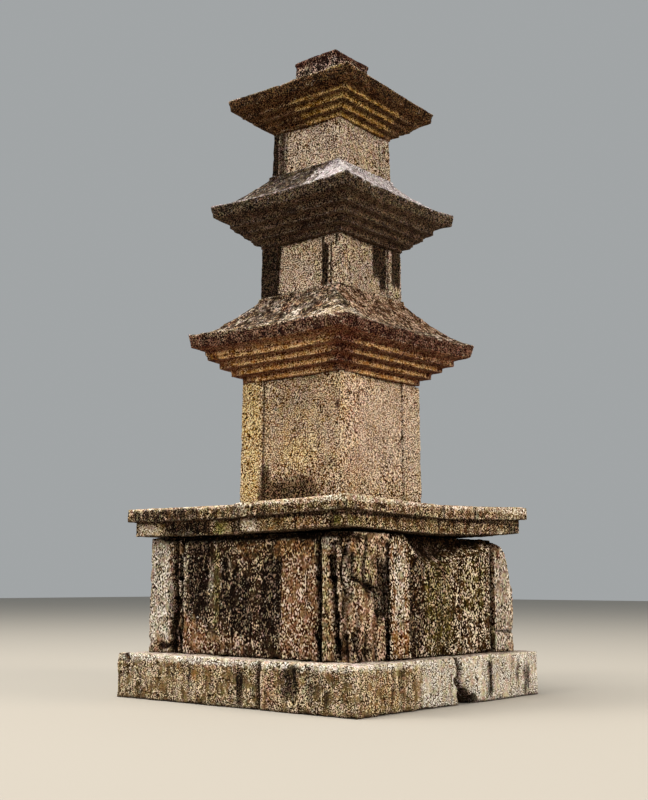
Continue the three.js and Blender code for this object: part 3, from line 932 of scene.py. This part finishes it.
capstone = {
    "finish": "lichened granite",  # grey-brown, arrises nearly white with wear and a painted highlight
    "grain": 8,
    "specks": 0.5,
    "stops": (0.42, 0.487, 0.55, 0.63),
    "voxel": 0.012,
    "wear": 1,
    "uneven": 0.002,
    "nibble": 0.01,
    "grit": 0.0025,
    "pits": 0.004,
    "stone": ("#1c0c02", "#583f27", "#886e4c", "#ffeacc"),
    "otherStone": ("#1a0e02", "#504325", "#77673f", "#f2e0b6"),
    "warmStone": ("#220e02", "#654329", "#936b4c", "#ffe0c2"),
    "dustAndSkyLight": ("#5a4f45", "#a3968a", "#cdc3b8", "#f0eae2"),
    "streaks": 0.6,
    "drips": 0.03,
    "pale": ("#4a3826", "#a8927a", "#d8c4a8", "#fffaee"),
    "rubbedAndLit": 1.0,
    "bluntEdge": 0.22,
    "sharpEdge": 0.5,
    "carved": [
        ("right", (0.28, 1.18), (0.3, 1.09), 0.025, 0.02),
        ("front", (0.748, 1.09), (0.745, 1.0), 0.02, 0.014),
    ],
    "sootMarks": [
        ("front", -0.6, 0.66, 1.16, 1.08, 0.72),
        ("front", 0.35, 1.25, 1.16, 1.08, 0.5),
        ("right", 0.0, 1.9, 1.15, 1.1, 0.35),
        ("right", 0.0, 1.9, 1.08, 0.98, 0.35),
        ("front", -0.41, 0.41, 1.08, 0.99, 0.82),
        # Painted shadow under the slab's overhang, along the top of the moulding
        ("front", 0.0, 1.85, 1.092, 1.078, 0.9, 0.004),
        ("right", 0.0, 1.85, 1.092, 1.078, 0.9, 0.004),
        ("front", 0.0, 0.1, 1.08, 0.99, 0.6),
        ("right", 0.79, 0.16, 1.08, 0.99, 0.75),
        *[("front", 0.18 + 0.075 * k, 0.035, 1.08, 0.99, 0.42) for k in range(8)],
        *[("right", -0.8 + 0.12 * k, 0.05, 1.08, 0.99, 0.45) for k in range(12)],
    ],
    "roseMarks": [
        ("front", -0.12, 0.3, 1.2, 1.1, 0.3),
        ("front", 0.4, 0.3, 1.2, 1.1, 0.45),
        ("right", 0.0, 1.2, 1.2, 1.1, 0.35),
    ],
    "ochreMarks": [
        ("front", 0.45, 0.5, 1.08, 0.99, 0.35),
        ("right", -0.3, 0.9, 1.08, 0.99, 0.3),
    ],
    "lichenMarks": [
        ("front", -0.13, 0.13, 1.07, 0.99, 0.8),
        ("front", 0.3, 1.2, 1.17, 1.1, 0.3),
        ("front", 0.77, 0.12, 1.08, 0.99, 0.6),
        ("right", -0.83, 0.2, 1.08, 0.99, 0.45),
    ],
    "paleMarks": [
        # Painted highlight along the top arris of the slab
        ("front", 0.0, 1.95, 1.21, 1.161, 2.2, 0.004),
        ("right", 0.0, 1.95, 1.21, 1.161, 2.2, 0.004),
        ("front", -0.775, 0.22, 1.07, 0.99, 0.8),
        ("front", 0.111, 0.12, 1.08, 0.99, 1.2),
        ("front", 0.1, 0.1, 1.15, 1.09, 0.6),
        ("right", 0.75, 0.3, 1.2, 1.1, 0.4),
        ("right", 0.62, 0.1, 1.06, 0.99, 0.7),
    ],
}
body = {
    "finish": "fine hewn granite",  # pale, warm and smooth, golden in places
    "calm": 0.9,
    "richness": 1.18,
    "stops": (0.42, 0.468, 0.53, 0.585),
    "specks": 0.1,
    "voxel": 0.009,
    "wear": 1,
    "uneven": 0.0012,
    "nibble": 0.006,
    "grit": 0.0018,
    "pits": 0.004,
    "mottle": 0.03,
    "stone": ("#260c00", "#7a5434", "#c4986e", "#fff0d8"),
    "otherStone": ("#220e00", "#7d5f43", "#bf9c7c", "#fff4e4"),
    "warmStone": ("#2c1000", "#8c602c", "#c8985c", "#fff0ca"),
    "soot": ("#080300", "#261a10", "#483628", "#927c66"),
    "rose": ("#260a00", "#a0745c", "#dcac94", "#fff0e4"),
    "ochre": ("#2c1000", "#a8804c", "#e6bb82", "#fff2cc"),
    "clouded": 0.5,
    "streaks": 0.12,
    "fray": 0.55,
    "grimeShadeAmount": 0.6,
    "carved": [("front", (0.247, 2.02), (0.25, 1.2), 0.02, 0.004)],
    "drawn": 0.7,
    "fingers": 0.3,
    "softness": 2.2,
    "clumps": 0.008,
    "drips": 0.008,
    "sootMarks": [
        ("front", -0.01, 0.52, 1.36, 0.9, 1.15, 0.14),
        ("right", 0.0, 0.8, 3.8, 2.5, 0.4),
        ("front", 0.0, 0.48, 2.05, 1.75, 0.35),
        ("front", 0.32, 0.2, 1.5, 1.36, 0.4),
        ("front", -0.21, 0.08, 1.46, 1.2, 0.9, 0.08),
        ("front", 0.3, 0.2, 1.34, 1.2, 0.45),
        ("front", 0.08, 0.34, 1.3, 0.9, 1.0, 0.1),
        ("front", 0.392, 0.03, 1.82, 1.77, 0.9),
        ("front", 0.31, 0.03, 1.74, 1.71, 0.7),
        ("front", 0.0, 0.44, 2.02, 1.9, 0.25),
        ("right", 0.143, 0.12, 1.38, 1.2, 0.35),
        ("right", -0.352, 0.14, 1.34, 1.25, 0.3),
        ("front", -0.262, 0.19, 3.1, 2.4, 1.25),
        ("front", 0.196, 0.034, 3.1, 2.8, 1.0),
        ("front", 0.214, 0.062, 2.86, 2.4, 1.25),
        ("front", 0.268, 0.018, 2.88, 2.5, 0.8),
        ("front", 0.32, 0.04, 3.1, 2.84, 0.9),
        ("right", 0.12, 0.17, 3.1, 2.68, 0.9),
        ("right", 0.14, 0.1, 3.1, 2.6, 0.9),
        ("right", 0.04, 0.18, 3.1, 2.66, 0.45),
        ("right", 0.272, 0.11, 3.1, 2.67, 1.2),
        ("front", -0.262, 0.09, 3.9, 3.3, 1.2),
        ("front", -0.195, 0.08, 3.9, 3.3, 0.75),
    ],
    "ochreMarks": [
        ("front", -0.335, 0.19, 2.1, 1.15, 1.05),
        ("front", 0.06, 0.34, 1.62, 1.42, 0.55),
        ("right", -0.3, 0.17, 1.6, 1.47, 0.4),
        ("right", 0.0, 0.35, 2.0, 1.87, 0.3),
        ("front", 0.0, 0.32, 2.93, 2.8, 0.35),
        ("right", -0.2, 0.22, 2.93, 2.75, 0.35),
        ("right", 0.05, 0.12, 2.66, 2.58, 0.4),
    ],
    "lichenMarks": [
        ("front", 0.143, 0.05, 2.8, 2.6, 0.45),
        ("right", -0.047, 0.1, 2.92, 2.78, 0.4),
        ("right", 0.26, 0.1, 2.72, 2.58, 0.45),
        ("right", 0.05, 0.2, 3.66, 3.42, 0.3),
        ("right", 0.0, 0.5, 1.36, 1.2, 0.25),
    ],
    "paleMarks": [
        ("front", 0.28, 0.11, 1.69, 1.6, 0.4),
        ("front", -0.133, 0.05, 1.825, 1.79, 0.8),
        ("right", 0.15, 0.7, 2.0, 1.3, 0.4),
        ("front", -0.335, 0.17, 2.0, 1.2, 0.2),
        ("right", 0.35, 0.17, 2.0, 1.2, 0.45),
        ("front", 0.335, 0.15, 2.0, 1.5, 0.2),
    ],
    "roseMarks": [
        ("right", 0.0, 0.8, 2.0, 1.3, 0.5),
        ("front", 0.33, 0.17, 1.8, 1.45, 0.35),
        ("front", 0.0, 0.3, 2.76, 2.58, 0.4),
        ("front", 0.0, 0.5, 3.72, 3.4, 0.3),
    ],
}
upperBody = {
    **body,
    "finish": "grey hewn granite",  # the same stone, greyer, with thin black runs
    "richness": 1.08,
    "soot": ("#020100", "#0c0704", "#1a110b", "#4e4033"),
    "softness": 0.8,
    "stone": ("#220e00", "#866648", "#c29b7b", "#fff2de"),
    "otherStone": ("#200e00", "#846b56", "#be9f86", "#fff4e6"),
    "warmStone": ("#2a1000", "#8f663c", "#cc9c6d", "#ffeccc"),
}


# Soot and painted shade on the four risers under a roof: side, width, head and foot of the
# lowest, rise from one to the next, strength
def risers(side, width, head, foot, rise, strength):
    rises = [rise * k for k in range(4)]
    return [(side, 0.0, width, head + up, foot + up, strength, 0.008) for up in rises]


roof = {
    "finish": "weathered eaves granite",  # dark, with reddish undersides darkened by painted shade and grime, and tops pale with dust and painted sky light
    "richness": 1.1,
    "stops": (0.41, 0.473, 0.527, 0.59),
    "voxel": 0.009,
    "wear": 6,
    "tinted": 0.26,
    "uneven": 0.003,
    "nibble": 0.014,
    "grit": 0.0018,
    "pits": 0.004,
    "stone": ("#060202", "#1e130e", "#463226", "#c2ac94"),
    "otherStone": ("#060302", "#1e1a10", "#413b28", "#b2a688"),
    "warmStone": ("#0a0302", "#2b160f", "#583523", "#c49a7c"),
    "ochre": ("#4a2208", "#b07a46", "#dcaa6e", "#ffe8ba"),
    "soot": ("#0c0403", "#261310", "#40271f", "#886858"),
    "dustAndSkyLight": ("#0c0603", "#41362b", "#857a6d", "#eee4d8"),
    "dustAndSkyLightAmount": 0.9,
    "streaks": 0.3,
    "drawn": 0.5,
    "fingers": 0.4,
    "clumps": 0.02,
    "crust": 22,
    "rose": ("#0c0301", "#3e2618", "#775a44", "#e0c6b0"),
    "rubbedAndLit": 0.9,
    "sharpEdge": 0.65,
    "bare": 0.46,
    "shelter": 0.09,
    "grimeShadeStart": 0.85,
    "grimeShadeFull": 0.45,
    "grimeShadeAmount": 0.7,
    "grimeAndShade": ("#180906", "#3e2019", "#5a3124", "#8f6046"),
    "under": 0.7,
    "cornerMarks": [
        ((1, -1), 2.0, 2.3, 0.34, 0.55),
        ((1, -1), 2.0, 2.3, 0.2, 0.95),
        ((-1, -1), 2.0, 2.2, 0.18, 0.6),
        ((-1, -1), 2.2, 2.33, 0.2, 0.8),
        ((1, 1), 2.0, 2.2, 0.26, 0.8),
        ((-1, 1), 2.0, 2.2, 0.2, 0.7),
    ],
    "worn": [
        ((-1, -1), 1.98, 2.19, 0.016, 0.0),
        ((1, 1), 1.98, 2.19, 0.016, 0.0),
        ((1, -1), 1.98, 2.19, 0.008, 0.0),
        ((-1, 1), 1.98, 2.19, 0.012, 0.0),
        ((-1, -1), 2.26, 2.4, 0.008, 0.018),
    ],
    "ochreMarks": [
        ("front", -0.02, 1.25, 2.2, 1.9, 1.1),
        ("right", 0.0, 1.2, 2.17, 1.9, 0.9),
        ("front", 0.25, 0.5, 3.85, 3.7, 1.1),
        ("right", -0.2, 0.8, 3.85, 3.7, 1.0),
    ],
    "sootMarks": [
        # Soot and painted shade on the upper part of each riser
        *risers("front", 1.3, 2.05, 2.029, 0.045, 0.64),
        *risers("right", 1.3, 2.05, 2.027, 0.045, 0.78),
        *risers("front", 1.1, 3.754, 3.74, 0.033, 0.45),
        *risers("right", 1.1, 3.754, 3.74, 0.033, 0.45),
        ("front", 0.0, 1.5, 2.29, 2.2, 0.7, 0.012),
        ("right", 0.1, 1.3, 2.28, 2.19, 0.95, 0.012),
        ("front", -0.35, 0.5, 2.6, 2.32, 0.35),
        ("right", 0.25, 0.6, 2.19, 2.13, 0.6),
        ("front", 0.0, 1.3, 3.185, 2.8, 0.85, 0.01),
        ("right", 0.0, 1.3, 3.185, 2.8, 0.85, 0.01),
        ("front", -0.28, 0.84, 3.5, 3.2, 0.75),
        ("front", 0.0, 1.3, 3.94, 3.84, 0.95, 0.012),
        ("right", 0.0, 1.3, 3.94, 3.84, 0.9, 0.012),
        ("front", -0.35, 0.6, 3.87, 3.7, 0.7),
        ("right", 0.42, 0.3, 3.87, 3.7, 0.5),
    ],
    "lichenMarks": [
        ("right", -0.12, 0.34, 3.16, 2.94, 0.75),
        ("right", 0.1, 0.4, 3.25, 2.95, 0.4),
        ("front", 0.42, 0.14, 4.0, 3.86, 0.5),
    ],
    "roseMarks": [
        ("right", 0.1, 1.0, 2.6, 2.31, 0.75),
        ("front", 0.1, 0.3, 2.6, 2.45, 0.3),
    ],
    "paleMarks": [
        ("front", 0.55, 0.3, 2.37, 2.26, 0.6),
        ("right", -0.55, 0.24, 2.37, 2.26, 0.5),
        ("front", 0.4, 0.36, 3.5, 3.2, 0.8),
        ("right", 0.0, 1.2, 3.5, 3.19, 0.8),
    ],
}
middleRoof = {
    **roof,
    "finish": "sooty eaves granite",  # black eaves under a cold grey crust
    "richness": 0.95,
    "grimeShadeStart": 0.92,
    "grimeShadeFull": 0.52,
    "stone": ("#0a0503", "#2b1f17", "#503e30", "#937f69"),
    "otherStone": ("#0a0704", "#2a2717", "#4e4930", "#8c8360"),
    "warmStone": ("#0d0603", "#352117", "#5c4130", "#9c7e66"),
    "grimeAndShade": ("#0c0603", "#2a1b12", "#422d1f", "#6a4f39"),
    "dustAndSkyLight": ("#2b231e", "#766a66", "#b0a5a3", "#eee8e8"),
    "bare": 0.4,
    "pale": ("#5a5050", "#a3989a", "#cfc6c8", "#fffaff"),
    "soot": ("#080402", "#1e150d", "#362a1f", "#705e48"),
    "specks": 0.25,
    "rubbedAndLit": 0.4,
    "worn": [
        ((-1, -1), 2.9, 3.09, 0.024, 0.0),
        ((1, 1), 2.9, 3.09, 0.016, 0.0),
        ((1, -1), 2.9, 3.09, 0.008, 0.0),
        ((-1, 1), 2.9, 3.09, 0.014, 0.0),
        ((1, 1), 3.12, 3.3, -0.018, 0.006),
    ],
}
topRoof = {
    **roof,
    "finish": "mossy eaves granite",  # dark and brownish, golden on the lowest steps
    "ochre": ("#36200a", "#86612f", "#b88c4f", "#f4d89c"),
    "soot": ("#080301", "#1a0f08", "#2f1f13", "#6a523a"),
    "specks": 0.3,
    "stone": ("#060302", "#24160f", "#452e20", "#a58a6c"),
    "otherStone": ("#070503", "#252012", "#433a22", "#9a8b62"),
    "warmStone": ("#0a0402", "#2a190f", "#4e3424", "#a8876a"),
    "grimeAndShade": ("#0c0402", "#25140b", "#3e2718", "#6c4d34"),
    "rubbedAndLit": 0.5,
}
finial = {
    **roof,
    "finish": "finial granite",  # almost black, with scattered pale specks
    "specks": 0.7,
    "dustAndSkyLight": ("#060302", "#1c1410", "#382b24", "#b4a294"),
    "voxel": 0.006,
    "stops": (0.42, 0.49, 0.56, 0.64),
    "stone": ("#040201", "#150d09", "#32241d", "#d8beb2"),
    "otherStone": ("#040201", "#14110a", "#2e2a1f", "#c4b8a0"),
    "warmStone": ("#070201", "#1c0f0a", "#3e2920", "#debcac"),
    "dustAndSkyLightAmount": 0.2,
    "rubbedAndLit": 0.1,
    "sootMarks": [("front", 0.0, 0.6, 4.4, 4.2, 0.8), ("right", 0.0, 0.6, 4.4, 4.2, 0.8)],
}

# The longest name that a node starts with says what it is
looks = {
    "foundation": foundation,
    "platform": platform,
    "platform_panel": panel,
    "platform_panel_right": rightPanel,
    "rubble": rubble,
    "capstone": capstone,
    "body": upperBody,
    "body_1": body,
    "roof": roof,
    "roof_2": middleRoof,
    "roof_3": topRoof,
    "finial": finial,
}


def buildStones():
    triangles = {}
    for number, node in enumerate(sorted(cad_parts)):
        kind = max((name for name in looks if node.startswith(name)), key=len)
        count = buildStone(node, looks[kind], 100 * (number + 1))
        triangles[kind] = triangles.get(kind, 0) + count
    print("stones built", triangles, sum(triangles.values()))


buildStones()
